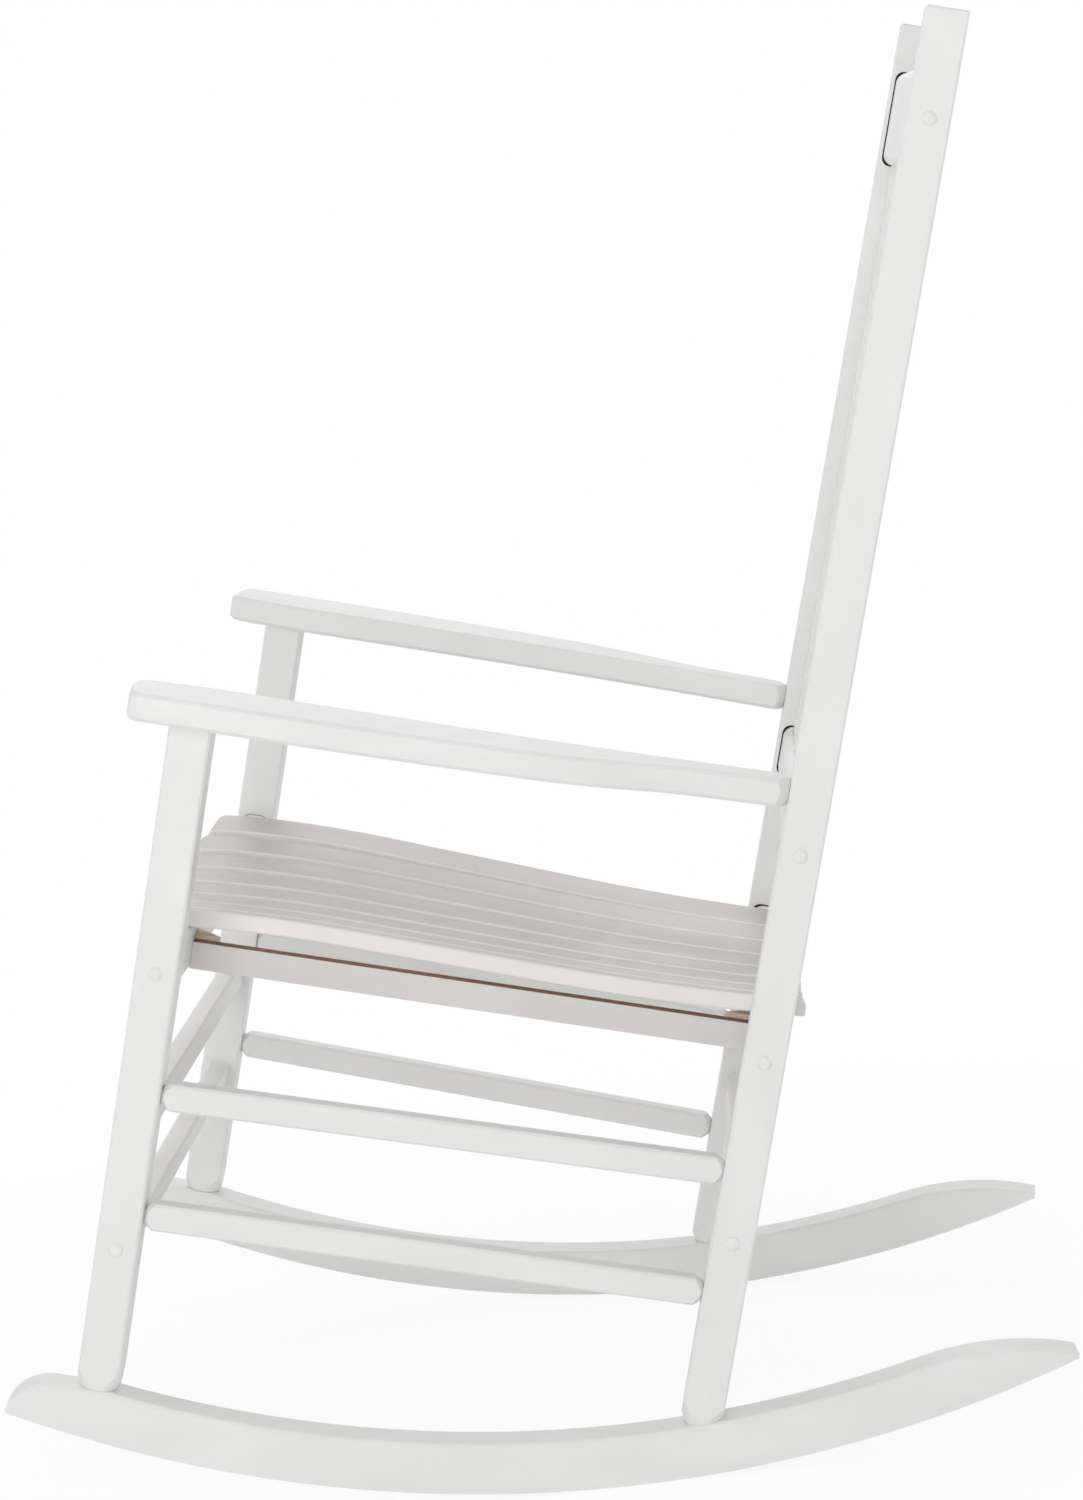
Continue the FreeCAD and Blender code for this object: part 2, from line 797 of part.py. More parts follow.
def arm_outline(side):
    """Plan of an arm from its rear shoulder at the origin to its broad front end."""
    length = size("arm_length")
    outer, inner = size("arm_outer_reach"), size("arm_inner_reach")
    rear = size("arm_rear_half_width")
    points = [
        (rear, 0),
        (rear + 9.5, -62),
        (outer - 36.5, -122, 200, 1),
        (outer - 12, -215, 280, -1),
        (outer, 109 - length, 2000, -1),
        (outer, 14 - length),
        (outer - 9, 4 - length, 11, -1),
        (inner + 23.5, -length, 500, -1),
        (inner + 8.4, 11.4 - length, 15, -1),
        (inner, 74 - length, 300, -1),
        (inner, 209 - length),
        (-rear, -22, 2000, 1),
        (-rear, 0),
    ]
    return mirrored(points, side)


def mirrored(points, side):
    """The outline itself for the left side, its mirror image for the right one."""
    turned = []
    for point in points:
        bulge = (point[2], point[3] * side) if len(point) > 2 else ()
        turned.append((as_size(point[0]) * side, point[1]) + bulge)
    return turned


def arm(word, side):
    name = "arm_" + word
    body = new_body(name + "_board")
    sketch = draw_outline(body, name + "_plan", "XY_Plane", arm_outline(side))
    pad(body, sketch, size("arm_thickness"), both_ways=True)
    half = mm("arm_thickness") / 2

    for level in (half, -half):
        def rim(edge, level=level):
            span = edge.BoundBox
            flat = span.ZLength < 0.01 and abs(span.ZMin - level) < 0.01
            return flat and span.YMin < -5

        ease_edges(body, size("arm_edge_ease"), rim)
    run = size("arm_turning")
    corner = size("arm_corner_radius")
    outside = corner + 6
    taper = (corner - size("arm_end_radius")) / run
    sketch = draw_outline(body, name + "_turning", "XY_Plane", [
        (corner, -run),
        (outside, -run),
        (outside, 2),
        (size("arm_end_radius") - taper * 2, 2),
    ])
    turn_down(body, sketch, "V_Axis")
    body.Placement = arm_frame(side)
    frame = arm_frame(side)
    inside = 3.0
    backward = frame * Placement(Vector(0, -inside, 0), Rotation(Vector(1, 0, 0), -90))
    tail = tenon(name + "_tenon", "back_post_" + word, size("arm_tenon_width"),
                 size("arm_tenon_length") + inside, backward)
    piece(name, fuse(name + "_whole", [body, tail]))


# Seat

FRONT_RAIL = cross_frame(leg_frame, mm("front_seat_rail_rise"))
REAR_RAIL = cross_frame(post_frame, mm("rear_seat_rail_rise"))


def rail_bottom_of_scoop(frame, depth_name):
    return frame.multVec(Vector(0, 0, mm("seat_rail_height") / 2 - mm(depth_name)))


FRONT_LOW = rail_bottom_of_scoop(FRONT_RAIL, "seat_scoop_depth")
REAR_LOW = rail_bottom_of_scoop(REAR_RAIL, "rear_scoop_depth")
CHORD = math.atan2(FRONT_LOW.z - REAR_LOW.z, REAR_LOW.y - FRONT_LOW.y)
FRONT_SLOPE = math.degrees(CHORD - math.atan(mm("seat_front_rise")))
REAR_SLOPE = math.degrees(CHORD - math.atan(mm("seat_rear_rise")))


def arc_height(x):
    """Rise of the scoop's arc above its lowest line at a distance from the middle."""
    radius = mm("seat_scoop_radius")
    return radius - math.sqrt(radius ** 2 - x ** 2)


def slat_outline(reach, overhang):
    """Side view of a seat slat from its front support: a gentle crest, then a long dip."""
    rise, fall = size("seat_front_rise"), size("seat_middle_fall")
    back_rise = size("seat_rear_rise")
    crest, dip = size("seat_crest_span"), size("seat_dip_span")
    thick = size("seat_slat_thickness")
    reach = as_size(reach)
    overhang = as_size(overhang)
    crest_end = (rise - fall) * crest / 2
    dip_start = (back_rise - fall) * dip * -1 / 2
    crest_radius = crest / (rise + fall)
    dip_radius = dip / (back_rise + fall)
    nose, tail = size("seat_nose_radius"), size("seat_tail_radius")
    rear = reach + size("seat_rear_overhang")
    rear_low = size("seat_rear_overhang") * back_rise
    front_low = -(overhang * rise)
    return [
        (0, 0),
        (crest, crest_end, crest_radius, -1),
        (reach - dip, dip_start),
        (reach, 0, dip_radius, 1),
        (rear, rear_low),
        (rear, rear_low + thick - tail),
        (rear - tail, rear_low + thick, tail, 1),
        (reach, thick),
        (reach - dip, dip_start + thick, dip_radius, -1),
        (crest, crest_end + thick),
        (0, thick, crest_radius, 1),
        (nose - overhang, front_low + thick),
        (-overhang, front_low + thick - nose, nose, 1),
        (-overhang, front_low),
    ]


def seat_slat_line(index):
    """Frame, length and roll of a slat: it runs between the two scooped rails."""
    count = int(mm("seat_slat_count"))
    share = 1 - 2 * index / (count - 1)
    half = mm("seat_slat_width") / 2
    x_front = share * (mm("seat_half_width_front") - half)
    x_rear = share * (mm("seat_half_width_rear") - half)
    front_up = Vector(0, math.sin(math.radians(FRONT_SLOPE)), math.cos(math.radians(FRONT_SLOPE)))
    rear_up = Vector(0, math.sin(math.radians(REAR_SLOPE)), math.cos(math.radians(REAR_SLOPE)))
    gap = mm("slat_seat_clearance") + arc_height(half) + abs(share) * 0.35
    start = FRONT_LOW + Vector(x_front, 0, 0) + front_up * (arc_height(x_front) + gap)
    end = REAR_LOW + Vector(x_rear, 0, 0) + rear_up * (arc_height(x_rear) + gap)
    y_axis = (end - start).normalize()
    roll = (math.asin(x_front / mm("seat_scoop_radius"))
            + math.asin(x_rear / mm("seat_scoop_radius"))) / 2
    up = Vector(-math.sin(roll), 0, math.cos(roll))
    z_axis = (up - y_axis * up.dot(y_axis)).normalize()
    x_axis = y_axis.cross(z_axis)
    frame = Placement(start, Rotation(x_axis, y_axis, z_axis, "YZX"))
    overhang = mm("seat_front_overhang") + mm("seat_front_bow") * (1 - share ** 2)
    return frame, (end - start).Length, overhang


def seat_slats():
    for index in range(int(mm("seat_slat_count"))):
        name = "seat_slat_%d" % (index + 1)
        frame, reach, overhang = seat_slat_line(index)
        body = new_body(name + "_board")
        sketch = draw_outline(body, name + "_side", "YZ_Plane", slat_outline(reach, overhang))
        pad(body, sketch, size("seat_slat_width"), both_ways=True)
        body.Placement = frame
        piece(name, body)


def seat_side_rail(word, side):
    """Bearer between the seat rails, under the outer slat, trimmed to both rails' faces."""
    name = "seat_side_rail_" + word
    half_height = mm("seat_rail_height") / 2 - mm("side_rail_height") / 2
    half_thick = mm("rail_thickness") / 2
    middle = mm("side_rail_thickness") / 2
    front = FRONT_RAIL.multVec(Vector(side * (mm("side_rail_front_x") - middle), half_thick,
                                      mm("side_rail_front_lift") - half_height))
    rear = REAR_RAIL.multVec(Vector(side * (mm("side_rail_rear_x") - middle), -half_thick,
                                    mm("side_rail_rear_lift") - half_height))
    spare = 5.0
    frame = along(aimed(front, rear), -spare)
    body = new_body(name + "_stick")
    section = rectangle(size("side_rail_thickness"), size("side_rail_height"))
    sketch = draw_outline(body, name + "_section", "XY_Plane", section)
    pad(body, sketch, (rear - front).Length + 2 * spare)
    body.Placement = frame
    piece(name, body)
    trim = as_size(60)
    for label, rail, way in (("front", FRONT_RAIL, 1), ("rear", REAR_RAIL, -1)):
        offset = way * (half_thick - trim.value / 2)
        place = rail * Placement(Vector(side * 170, offset, 0), Rotation())
        cut_from(name, box("%s_%s_trim" % (name, label), trim * 3, trim, trim * 2, place))
    return aimed(front, rear), (rear - front).Length


def corner_blocks(word, side, bearer):
    """Glue blocks behind the front rail and before the rear rail, inside the side rail."""
    frame, length = bearer
    half_thick = mm("rail_thickness") / 2
    way_along = frame.Rotation.multVec(Vector(0, 0, 1))
    skew = abs(way_along.x / way_along.y)
    inward = mm("side_rail_thickness") / 2 * math.sqrt(1 + skew ** 2) + mm("block_clearance")
    leg = size("corner_block_leg")
    for label, rail, way in (("front", FRONT_RAIL, 1), ("rear", REAR_RAIL, -1)):
        name = "corner_block_%s_%s" % (label, word)
        on_bearer = along(frame, 0.0 if way > 0 else length).Base
        local = rail.inverse().multVec(on_bearer)
        lift = local.z + (mm("corner_block_height") - mm("side_rail_height")) / 2
        points = [(0, 0), (-side * leg, 0), (-side * way * skew * leg, way * leg)]
        if side * way < 0:
            points = points[::-1]
        body = new_body(name + "_block")
        sketch = draw_outline(body, name + "_plan", "XY_Plane", points)
        pad(body, sketch, size("corner_block_height"), both_ways=True)
        corner = Vector(side * (abs(on_bearer.x) - inward),
                        way * (half_thick + mm("block_clearance")), lift)
        body.Placement = rail * Placement(corner, Rotation())
        piece(name, body)


# Plugs

def plug_blank():
    """Button with a sloping rim whose flat side sits on the XY plane."""
    body = new_body("plug_blank")
    sketch = draw_outline(body, "plug_profile", "XZ_Plane", [
        (0, 0),
        (size("plug_radius"), 0),
        (size("plug_top_radius"), size("plug_rise")),
        (0, size("plug_rise")),
    ])
    feature = body.newObject("PartDesign::Revolution", "plug_turned")
    feature.Profile = sketch
    feature.ReferenceAxis = (sketch, ["V_Axis"])
    feature.Angle = 360
    doc.recompute()
    return body


def button_plugs():
    """Plugs on the uprights' outer faces, one over each end of a rail or stretcher."""
    crest_rise = mm("post_length") - mm("crest_rail_drop")
    places = [
        (post_frame, crest_rise),
        (post_frame, mm("lower_back_rail_rise")),
        (post_frame, mm("rear_seat_rail_rise")),
        (post_frame, mm("rear_stretcher_rise")),
        (leg_frame, mm("front_seat_rail_rise")),
        (leg_frame, mm("lower_front_stretcher_rise")),
    ]
    plug = plug_blank()
    plugs = []
    for upright_frame, rise in places:
        for side in SIDES.values():
            reach = mm("upright_width") / 2 + mm("shoulder_clearance")
            face = along(upright_frame(side), rise).multVec(Vector(side * reach, 0, 0))
            place = Placement(face, Rotation(Vector(0, 0, 1), Vector(side, 0, 0)))
            plugs.append(plug.Shape.transformed(place.toMatrix()))
    return plugs


def group(name, shapes):
    """One node for identical small parts, each its own solid."""
    item = doc.addObject("Part::Feature", name)
    item.Shape = Part.makeCompound(shapes)
    item.Placement = REST
    item.Label = name
    return item


# The chair

def rest_place():
    """Roll about the rocking centre to the pose of the empty chair, centred on the origin."""
    lean, splay = math.radians(mm("rest_lean")), math.radians(SPLAY)
    radius, half = mm("rocker_radius"), mm("rocker_thickness") / 2
    roll = Placement(Vector(), Rotation(Vector(1, 0, 0), -mm("rest_lean")),
                     Vector(0, CONTACT_Y, radius))
    front_reach = mm("rocker_front_reach") * math.cos(splay) + half * math.sin(splay)
    front = roll.multVec(Vector(0, CONTACT_Y - front_reach,
                                rocker_underside(mm("rocker_front_reach"))))
    top = along(post_frame(1), mm("post_length") - mm("upright_top_ease"))
    back = roll.multVec(top.multVec(Vector(0, mm("upright_depth") / 2, 0)))
    tilt = math.sin(splay) * math.sin(lean)
    sunk_edge = half * tilt - radius * (1 - math.sqrt(1 - tilt ** 2))
    return Placement(Vector(0, -(front.y + back.y) / 2, sunk_edge), Rotation()) * roll


REST = rest_place()


def build():
    for word, side in SIDES.items():
        rocker(word, side)
        back_post(word, side)
        front_leg(word, side)
        arm(word, side)
        side_stretcher("upper", word, side)
        side_stretcher("lower", word, side)
    front_tenoned_stretcher()
    butted_stretcher("lower_front_stretcher", leg_frame, "lower_front_stretcher_rise",
                     "leg_center_x")
    butted_stretcher("rear_stretcher", post_frame, "rear_stretcher_rise", "post_center_x")

    crest_rise = mm("post_length") - mm("crest_rail_drop")
    crest = housed_rail("crest_rail", post_frame, crest_rise, size("crest_rail_height"),
                        "back_post_", "post_center_x")
    lower = housed_rail("lower_back_rail", post_frame, mm("lower_back_rail_rise"),
                        size("lower_back_rail_height"), "back_post_", "post_center_x")
    housed_rail("rear_seat_rail", post_frame, mm("rear_seat_rail_rise"),
                size("seat_rail_height"), "back_post_", "post_center_x")
    housed_rail("front_seat_rail", leg_frame, mm("front_seat_rail_rise"),
                size("seat_rail_height"), "front_leg_", "leg_center_x")
    scoop("front_seat_rail", FRONT_RAIL, mm("seat_rail_height"), mm("seat_scoop_depth"),
          FRONT_SLOPE)
    scoop("rear_seat_rail", REAR_RAIL, mm("seat_rail_height"), mm("rear_scoop_depth"),
          REAR_SLOPE)
    slat_slots("crest_rail", crest, -mm("crest_rail_height") / 2, False)
    slat_slots("lower_back_rail", lower, mm("lower_back_rail_height") / 2, True)
    back_slats(lower, crest)
    seat_slats()
    for word, side in SIDES.items():
        corner_blocks(word, side, seat_side_rail(word, side))
    nodes = [finish(name) for name in list(PIECES)]
    nodes.append(group("button_plugs", button_plugs()))
    return nodes


def check(nodes):
    """Stop if any object failed or any sub-part has no valid solid."""
    doc.recompute()
    for item in doc.Objects:
        if "Invalid" in item.State or "Error" in item.State:
            raise RuntimeError("%s is %s" % (item.Label, item.State))
    for node in nodes:
        if node.Shape.isNull() or not node.Shape.isValid() or not node.Shape.Solids:
            raise RuntimeError(node.Label + " has no valid shape")


NODES = build()
check(NODES)
os.makedirs("parts", exist_ok=True)
for node in NODES:
    node.Shape.exportStep("parts/%s.step" % node.Label)
    print("%-32s %d solids %.0f mm3" % (node.Label, len(node.Shape.Solids), node.Shape.Volume))
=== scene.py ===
import bpy
import json
import math
import numpy as np
from mathutils import Matrix, Vector

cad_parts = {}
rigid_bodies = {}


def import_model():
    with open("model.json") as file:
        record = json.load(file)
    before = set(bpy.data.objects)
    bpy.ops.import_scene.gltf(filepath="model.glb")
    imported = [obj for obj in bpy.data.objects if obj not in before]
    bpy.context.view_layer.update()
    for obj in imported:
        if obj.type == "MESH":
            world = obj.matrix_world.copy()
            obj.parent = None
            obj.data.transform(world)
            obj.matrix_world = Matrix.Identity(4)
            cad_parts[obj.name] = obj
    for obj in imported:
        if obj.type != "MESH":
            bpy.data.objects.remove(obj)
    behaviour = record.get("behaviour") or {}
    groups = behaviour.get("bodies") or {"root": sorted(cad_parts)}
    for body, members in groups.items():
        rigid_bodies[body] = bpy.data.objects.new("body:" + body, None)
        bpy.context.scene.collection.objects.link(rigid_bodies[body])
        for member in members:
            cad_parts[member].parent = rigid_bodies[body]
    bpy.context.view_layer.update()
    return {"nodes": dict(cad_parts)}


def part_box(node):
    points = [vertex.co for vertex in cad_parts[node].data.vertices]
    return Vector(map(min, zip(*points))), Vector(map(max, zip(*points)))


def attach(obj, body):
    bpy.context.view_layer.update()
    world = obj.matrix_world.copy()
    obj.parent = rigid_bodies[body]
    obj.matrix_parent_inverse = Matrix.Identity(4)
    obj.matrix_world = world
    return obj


# Porch rocking chair of hardwood, sprayed satin white.
# Frame: metres, +Z up, the chair faces -Y, +X is the sitter's left. The chair stands at
# its empty rest, rolled back on its rockers. All its sticks come from the frame; the
# finishes, the sanded edges, the open joint lines, the studio and the camera are made here.

MM = 0.001
REST_LEAN = math.radians(6.3)

for stray in list(bpy.data.objects):
    bpy.data.objects.remove(stray)
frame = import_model()
nodes = frame["nodes"]


# Colours and nodes

def linear(hex_colour):
    """Linear RGBA of an sRGB hex value."""
    parts = [int(hex_colour[i:i + 2], 16) / 255 for i in (0, 2, 4)]
    return [c / 12.92 if c <= 0.04045 else ((c + 0.055) / 1.055) ** 2.4 for c in parts] + [1.0]


def add(tree, kind, links=None, stops=(), **settings):
    """Node of a kind with its settings; links maps an input to a value or to an output.

    stops are the (position, sRGB hex) pairs of a colour ramp.
    """
    node = tree.nodes.new(kind)
    for key, value in settings.items():
        setattr(node, key, value)
    for key, value in (links or {}).items():
        if isinstance(value, bpy.types.NodeSocket):
            tree.links.new(value, node.inputs[key])
        else:
            node.inputs[key].default_value = value
    if stops:
        elements = node.color_ramp.elements
        while len(elements) < len(stops):
            elements.new(0.5)
        for element, (position, colour) in zip(elements, stops):
            element.position = position
            element.color = linear(colour)
    return node


def new_material(name):
    material = bpy.data.materials.new(name)
    material.use_nodes = True
    material.node_tree.nodes.clear()
    return material, material.node_tree


def along_wood(tree, axis):
    """Object coordinates in metres, turned so that their Y runs along the wood's length."""
    turn = axis.rotation_difference(Vector((0, 1, 0))).to_euler()
    place = add(tree, "ShaderNodeTexCoord").outputs["Object"]
    return add(tree, "ShaderNodeMapping", {"Vector": place, "Rotation": turn}).outputs["Vector"]


def uneven(tree, place, across, along, detail, rough=0.5):
    """Uneven pattern from 0 to 1 whose features measure across by along, in mm."""
    per_feature = (1 / (across * MM), 1 / (along * MM), 1 / (across * MM))
    place = add(tree, "ShaderNodeMapping", {"Vector": place, "Scale": per_feature})
    return add(tree, "ShaderNodeTexNoise", {
        "Vector": place.outputs["Vector"],
        "Scale": 1.0,
        "Detail": detail,
        "Roughness": rough,
    }).outputs["Fac"]


def seen_directly(tree):
    """1 for what the lens, a mirror or a glass sees, 0 for light that falls on the chair."""
    rays = add(tree, "ShaderNodeLightPath").outputs
    seen = rays["Is Camera Ray"]
    for other in ("Is Glossy Ray", "Is Transmission Ray"):
        seen = add(tree, "ShaderNodeMath", {0: seen, 1: rays[other]},
                   operation="MAXIMUM").outputs[0]
    return seen


# Finishes

# Tones of the paint, from where it is thin to where it is thick.
WHITE = ("ECECEB", "EFEFEE", "F2F2F1")
WARM_WHITE = ("EDE7E4", "F0EAE7", "F3EEEB")
# Darker white of the seat side rails: painted shade from the seat slats above them.
RAIL_WHITE_IN_PAINTED_SHADE = ("DAD6D4", "DFDCDA", "E4E1E0")
# Darker, greyer white of the seat slats' upper faces: painted shade on the tops.
SEAT_TOP_PAINTED_SHADE = ("C3BEBC", "C9C5C3", "D0CCCA")
PAINT_STOPS = (0.30, 0.55, 0.75)


def satin_paint(name, axis, tones=WHITE):
    """Satin exterior acrylic, sprayed on hardwood in two coats.

    It gives the eye an even white, a soft sheen, faint clouding where the coat is thinner,
    and the wood's pores just showing as fine lines along each stick. Real pores and
    orange peel are finer than a millimetre; they are drawn as coarse as they need to show.
    """
    material, tree = new_material(name)
    place = along_wood(tree, axis)
    clouds = uneven(tree, place, 45, 120, 2.0)
    pores = uneven(tree, place, 1.6, 55, 4.0, 0.65)
    peel = uneven(tree, place, 1.1, 1.4, 2.0)
    colour = add(tree, "ShaderNodeValToRGB", {"Fac": clouds},
                 stops=list(zip(PAINT_STOPS, tones)))
    rough = add(tree, "ShaderNodeMapRange", {"Value": pores, "To Min": 0.36, "To Max": 0.50})
    fine = add(tree, "ShaderNodeBump", {"Height": peel, "Strength": 0.10,
                                        "Distance": 0.05 * MM})
    relief = add(tree, "ShaderNodeBump", {"Height": pores, "Strength": 0.35,
                                          "Distance": 0.12 * MM,
                                          "Normal": fine.outputs["Normal"]})
    shader = add(tree, "ShaderNodeBsdfPrincipled", {
        "Base Color": colour.outputs["Color"],
        "Roughness": rough.outputs["Result"],
        "IOR": 1.48,
        "Normal": relief.outputs["Normal"],
    })
    add(tree, "ShaderNodeOutputMaterial", {"Surface": shader.outputs["BSDF"]})
    return material


WOOD_STOPS = (0.36, 0.50, 0.64)


def sawn_wood(name, axis, tones):
    """Unpainted sawn hardwood: matt, with growth rings drawn out along the grain."""
    material, tree = new_material(name)
    place = along_wood(tree, axis)
    waver = uneven(tree, place, 9, 60, 3.0)
    rings = uneven(tree, place, 2.2, 70, 5.0, 0.6)
    both = add(tree, "ShaderNodeMath", {0: rings, 1: waver}, operation="ADD")
    mean = add(tree, "ShaderNodeMath", {0: both.outputs[0], 1: 0.5}, operation="MULTIPLY")
    colour = add(tree, "ShaderNodeValToRGB", {"Fac": mean.outputs[0]},
                 stops=list(zip(WOOD_STOPS, tones)))
    relief = add(tree, "ShaderNodeBump", {"Height": rings, "Strength": 0.5,
                                          "Distance": 0.15 * MM})
    shader = add(tree, "ShaderNodeBsdfPrincipled", {
        "Base Color": colour.outputs["Color"],
        "Roughness": 0.72,
        "IOR": 1.45,
        "Normal": relief.outputs["Normal"],
    })
    add(tree, "ShaderNodeOutputMaterial", {"Surface": shader.outputs["BSDF"]})
    return material


def shaded_end_grain(name):
    """Unpainted end grain deep in an open joint: matt and nearly black with shade."""
    material, tree = new_material(name)
    place = add(tree, "ShaderNodeTexCoord").outputs["Object"]
    grain = uneven(tree, place, 2, 2, 3.0)
    colour = add(tree, "ShaderNodeValToRGB", {"Fac": grain},
                 stops=[(0.35, "110E0C"), (0.65, "211B17")])
    shader = add(tree, "ShaderNodeBsdfPrincipled", {"Base Color": colour.outputs["Color"],
                                                    "Roughness": 0.85, "IOR": 1.45})
    add(tree, "ShaderNodeOutputMaterial", {"Surface": shader.outputs["BSDF"]})
    return material


# Sticks and their finishes

def names(*starts):
    return [n for n in sorted(nodes) if n.startswith(starts)]


def long_axis(name):
    """Direction in which a node's points spread the most."""
    points = np.array([v.co for v in nodes[name].data.vertices])
    spread = np.linalg.svd(points - points.mean(0), full_matrices=False)[2][0]
    return Vector(spread) * (1 if spread[np.argmax(np.abs(spread))] > 0 else -1)


def dress(members, material):
    """Give a material to nodes in place of the one they were packed with."""
    for name in members:
        nodes[name].data.materials.clear()
        nodes[name].data.materials.append(material)


def dress_top(members, material, rise):
    """Give a second material to the faces that look up by more than a rise."""
    for name in members:
        mesh = nodes[name].data
        mesh.materials.append(material)
        for polygon in mesh.polygons:
            if polygon.normal.z > rise:
                polygon.material_index = len(mesh.materials) - 1


# Sticks that share a way of the wood: the starts of their names and the paint's tones.
PAINTED = {
    "posts": (("back_post",), WHITE),
    "legs": (("front_leg",), WHITE),
    "back_slats": (("back_slat",), WHITE),
    "rockers": (("rocker",), WHITE),
    "arms": (("arm",), WHITE),
    "side_stretchers": (("upper_side", "lower_side"), WHITE),
    "seat_slats": (("seat_slat",), WARM_WHITE),
    # The side rails' white is darkened as painted shade under the seat's overhang.
    "side_rails_in_painted_shade": (("seat_side_rail",), RAIL_WHITE_IN_PAINTED_SHADE),
    "cross_rails": (("crest_rail", "lower_back_rail", "rear_seat_rail",
                     "front_seat_rail"), WHITE),
    "cross_stretchers": (("upper_front", "lower_front", "rear_stretcher"), WHITE),
    "plugs": (("button_plugs",), WHITE),
}
for sticks, (starts, tones) in PAINTED.items():
    members = names(*starts)
    dress(members, satin_paint("satin_acrylic_" + sticks, long_axis(members[0]), tones))

dress(names("corner_block"), sawn_wood("sawn_hardwood_blocks", Vector((0, 1, 0)),
                                       ("E6D0B8", "EFDECB", "F5E9DA")))

# The side rails' upper faces get a dark brown: bare wood, darkened with painted shade under the
# seat slats.
LEVEL_FACE = 0.9
dress_top(names("seat_side_rail"),
          sawn_wood("sawn_hardwood_rail_edge_in_painted_shade", long_axis("seat_side_rail_left"),
                    ("8A6247", "9C7558", "AE8A6E")), LEVEL_FACE)

# The seat's upper faces get a darker, greyer white as painted shade on the tops; the slats'
# edges keep the plain paint and stay whiter.
CURVED_TOP = 0.5
dress_top(names("seat_slat"),
          satin_paint("satin_acrylic_painted_shade_on_seat", long_axis("seat_slat_4"), SEAT_TOP_PAINTED_SHADE),
          CURVED_TOP)


# Sanded edges

WELD_DISTANCE = 0.01
FLAT_ANGLE = 0.2
EDGE_ANGLE = 20
FACE_WEIGHT = 80


def sand(item, width, segments):
    """Round the edges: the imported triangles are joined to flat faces, then bevelled."""
    weld = item.modifiers.new("joined_points", "WELD")
    weld.merge_threshold = WELD_DISTANCE * MM
    flat = item.modifiers.new("flat_faces", "DECIMATE")
    flat.decimate_type = "DISSOLVE"
    flat.angle_limit = math.radians(FLAT_ANGLE)
    edge = item.modifiers.new("sanded_edges", "BEVEL")
    edge.width = width * MM
    edge.segments = segments
    edge.limit_method = "ANGLE"
    edge.angle_limit = math.radians(EDGE_ANGLE)
    # Where a stick has a second material on top (painted shade on the seat slats, the shaded
    # bare edge on the side rails), its edges keep the first.
    edge.material = 0 if len(item.data.materials) > 1 else -1
    even = item.modifiers.new("even_faces", "WEIGHTED_NORMAL")
    even.weight = FACE_WEIGHT
    for polygon in item.data.polygons:
        polygon.use_smooth = True


# Width in mm and segments of the rounding.
PLUG_EDGE = (1.1, 3)
SLAT_EDGE = (1.8, 3)
PLAIN_EDGE = (0.5, 2)
for name in nodes:
    if name == "button_plugs":
        sand(nodes[name], *PLUG_EDGE)
    elif name.startswith("seat_slat"):
        sand(nodes[name], *SLAT_EDGE)
    else:
        sand(nodes[name], *PLAIN_EDGE)


# Open joint lines, in mm

BACK_LEAN = math.radians(9.2) + REST_LEAN
RAIL_THICKNESS = 25.0
RAIL_HEIGHTS = {"crest_rail": 80.0, "lower_back_rail": 44.0, "rear_seat_rail": 44.0}
JOINT_GAP = 1.1
JOINT_CORNER = 7.5
CORNER_SEGMENTS = 6
LINE_WIDTH = 2.1
LINE_PROUD = 0.15
LINE_THICKNESS = 0.24


def joint_line(rail, height, side, material):
    """Thin dark line round the rail where it enters a back post's inner face: painted shade of
    the open joint.
    """
    low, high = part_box(rail)
    post_low, post_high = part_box("back_post_" + side)
    face, inward = (post_low.x, -1) if side == "left" else (post_high.x, 1)
    middle = (low + high) / 2
    bpy.ops.object.select_all(action="DESELECT")
    bpy.ops.mesh.primitive_plane_add(size=1, location=(0, 0, 0))
    ring = bpy.context.object
    ring.name = "joint_line_%s_%s" % (rail, side)
    bpy.ops.object.mode_set(mode="EDIT")
    bpy.ops.transform.resize(value=((RAIL_THICKNESS + JOINT_GAP * 2) * MM,
                                    (height + JOINT_GAP * 2) * MM, 1))
    bpy.ops.mesh.bevel(offset=JOINT_CORNER * MM, segments=CORNER_SEGMENTS,
                       affect="VERTICES")
    bpy.ops.mesh.select_all(action="SELECT")
    bpy.ops.mesh.inset(thickness=LINE_WIDTH * MM)
    bpy.ops.mesh.delete(type="ONLY_FACE")
    bpy.ops.mesh.select_all(action="SELECT")
    bpy.ops.object.mode_set(mode="OBJECT")
    turn = Matrix(((0, 0, inward), (1, 0, 0), (0, 1, 0))).to_4x4()
    lean = Matrix.Rotation(-BACK_LEAN, 4, "X")
    spot = Vector((face + inward * LINE_PROUD * MM, middle.y, middle.z))
    ring.data.transform(Matrix.Translation(spot) @ lean @ turn)
    thick = ring.modifiers.new("thickness", "SOLIDIFY")
    thick.thickness = LINE_THICKNESS * MM
    thick.offset = 0
    bpy.ops.object.modifier_apply(modifier="thickness")
    ring.data.materials.append(material)
    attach(ring, "root")


painted_joint_shade = shaded_end_grain("hardwood_end_grain_in_shade")
for side in ("left", "right"):
    for rail, height in RAIL_HEIGHTS.items():
        joint_line(rail, height, side, painted_joint_shade)


# Floor and backdrop

FLOOR_SIZE = 12.0
FLOOR_DROP = 0.2
SHADOW_REACH = (0.45, 1.1)
GLOW_SHARE = (0.90, 1.0)


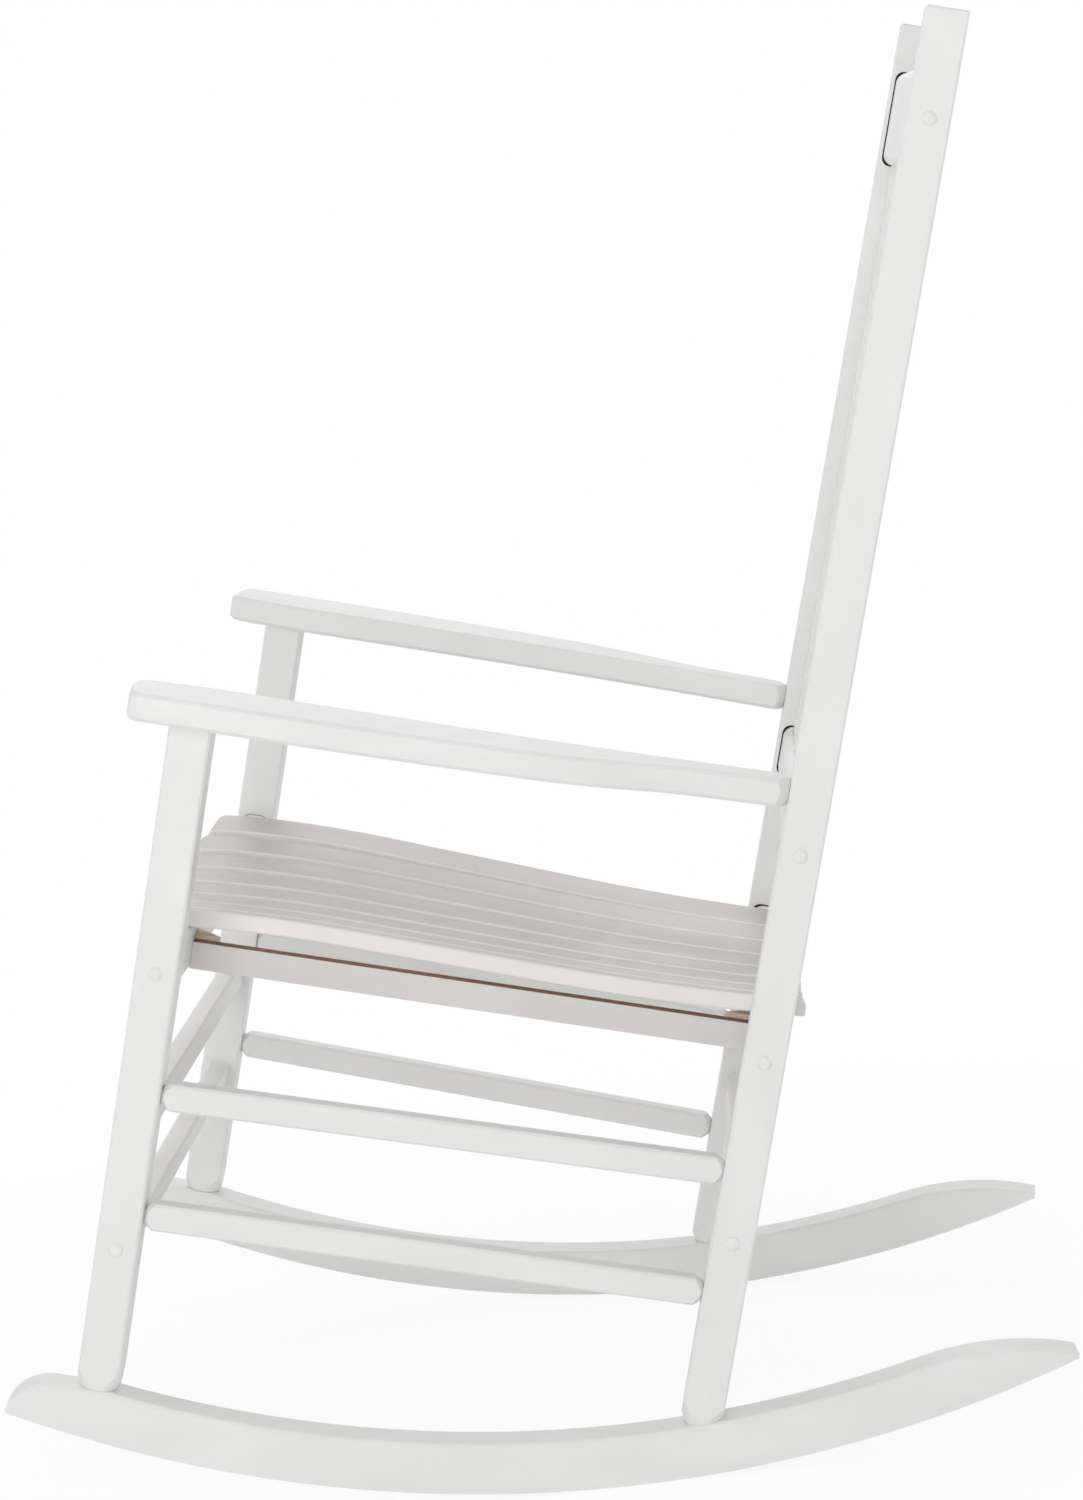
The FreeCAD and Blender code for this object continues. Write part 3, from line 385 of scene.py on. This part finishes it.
def studio_floor():
    """Pale studio floor that keeps the chair's soft shadow and goes white further off."""
    bpy.ops.object.select_all(action="DESELECT")
    bpy.ops.mesh.primitive_plane_add(size=FLOOR_SIZE, location=(0, 0, -FLOOR_DROP * MM))
    floor = bpy.context.object
    floor.name = "floor"
    material, tree = new_material("matt_white_floor")
    matt = add(tree, "ShaderNodeBsdfDiffuse", {"Color": linear("FAFAFA")})
    glow = add(tree, "ShaderNodeEmission", {"Color": (1, 1, 1, 1), "Strength": 1.0})
    place = add(tree, "ShaderNodeTexCoord").outputs["Object"]
    away = add(tree, "ShaderNodeVectorMath", {0: place}, operation="LENGTH")
    fade = add(tree, "ShaderNodeMapRange", {
        "Value": away.outputs["Value"],
        "From Min": SHADOW_REACH[0], "From Max": SHADOW_REACH[1],
        "To Min": GLOW_SHARE[0], "To Max": GLOW_SHARE[1],
    })
    share = add(tree, "ShaderNodeMath", {0: seen_directly(tree), 1: fade.outputs["Result"]},
                operation="MULTIPLY")
    mix = add(tree, "ShaderNodeMixShader", {0: share.outputs[0], 1: matt.outputs[0],
                                            2: glow.outputs[0]})
    add(tree, "ShaderNodeOutputMaterial", {"Surface": mix.outputs[0]})
    floor.data.materials.append(material)


studio_floor()


# Light

WORLD_LEVEL = 0.385
# Name, place and aim in metres, width and height in metres, power in watts.
LAMPS = (
    ("overhead", (0.8, -0.6, 3.4), (0, 0, 0.5), (2.6, 2.2), 14),
    ("side", (3.6, -0.5, 1.3), (0, 0, 0.6), (2.2, 2.0), 46),
    ("far_side", (-2.8, -0.3, 2.4), (0, 0, 0.5), (2.4, 1.2), 22),
    ("front", (-0.4, -3.8, 1.5), (0, 0, 0.6), (2.4, 1.6), 14),
    ("rear", (-0.4, 3.8, 1.5), (0, 0, 0.6), (2.4, 1.6), 26),
)


def studio_world():
    """Even light from all round; the lens and mirrors see plain white."""
    world = bpy.data.worlds.new("studio")
    bpy.context.scene.world = world
    world.use_nodes = True
    tree = world.node_tree
    tree.nodes.clear()
    strength = add(tree, "ShaderNodeMapRange", {"Value": seen_directly(tree),
                                                "To Min": WORLD_LEVEL, "To Max": 1.0})
    sky = add(tree, "ShaderNodeBackground", {"Color": (1, 1, 1, 1),
                                             "Strength": strength.outputs["Result"]})
    add(tree, "ShaderNodeOutputWorld", {"Surface": sky.outputs[0]})


def soft_lamp(name, place, aim, size, power):
    light = bpy.data.lights.new(name, "AREA")
    light.shape = "RECTANGLE"
    light.size, light.size_y = size
    light.energy = power
    lamp = bpy.data.objects.new(name, light)
    lamp.location = place
    lamp.rotation_euler = (Vector(aim) - Vector(place)).to_track_quat("-Z", "Y").to_euler()
    bpy.context.scene.collection.objects.link(lamp)


studio_world()
for lamp_row in LAMPS:
    soft_lamp(*lamp_row)


# Camera
# Its place is given for the chair as photographed, seat raised, from the point under the
# rockers' middle. The chair here is rolled back by REST_LEAN about the rocking centre,
# and the camera is rolled with it.

ROCKER_RADIUS = 1.057
REST_CONTACT_Y = 0.05799
EYE = Vector((3.1220, 0.20782, 1.06145))
YAW = math.radians(3.28418)
PITCH = math.radians(9.27774)
ROLL = math.radians(-0.12453)
LENS = 90.737
SENSOR = 36.0


def photo_camera():
    data = bpy.data.cameras.new("photo_camera")
    data.sensor_fit = "VERTICAL"
    data.sensor_height = SENSOR
    data.lens = LENS
    look = Vector((-math.cos(YAW) * math.cos(PITCH), -math.sin(YAW) * math.cos(PITCH),
                   -math.sin(PITCH)))
    level = Vector((-math.sin(YAW), math.cos(YAW), 0))
    above = level.cross(look)
    right = level * math.cos(ROLL) + above * math.sin(ROLL)
    up = above * math.cos(ROLL) - level * math.sin(ROLL)
    turn = Matrix((right, up, -look)).transposed().to_4x4()
    centre = Vector((0, 0, ROCKER_RADIUS))
    lean = Matrix.Rotation(-REST_LEAN, 4, "X")
    place = Matrix.Translation(centre + Vector((0, REST_CONTACT_Y, 0))) @ lean
    camera = bpy.data.objects.new("photo_camera", data)
    camera.matrix_world = place @ Matrix.Translation(EYE - centre) @ turn
    bpy.context.scene.collection.objects.link(camera)
    bpy.context.scene.camera = camera


photo_camera()
bpy.context.scene.view_settings.view_transform = "Standard"
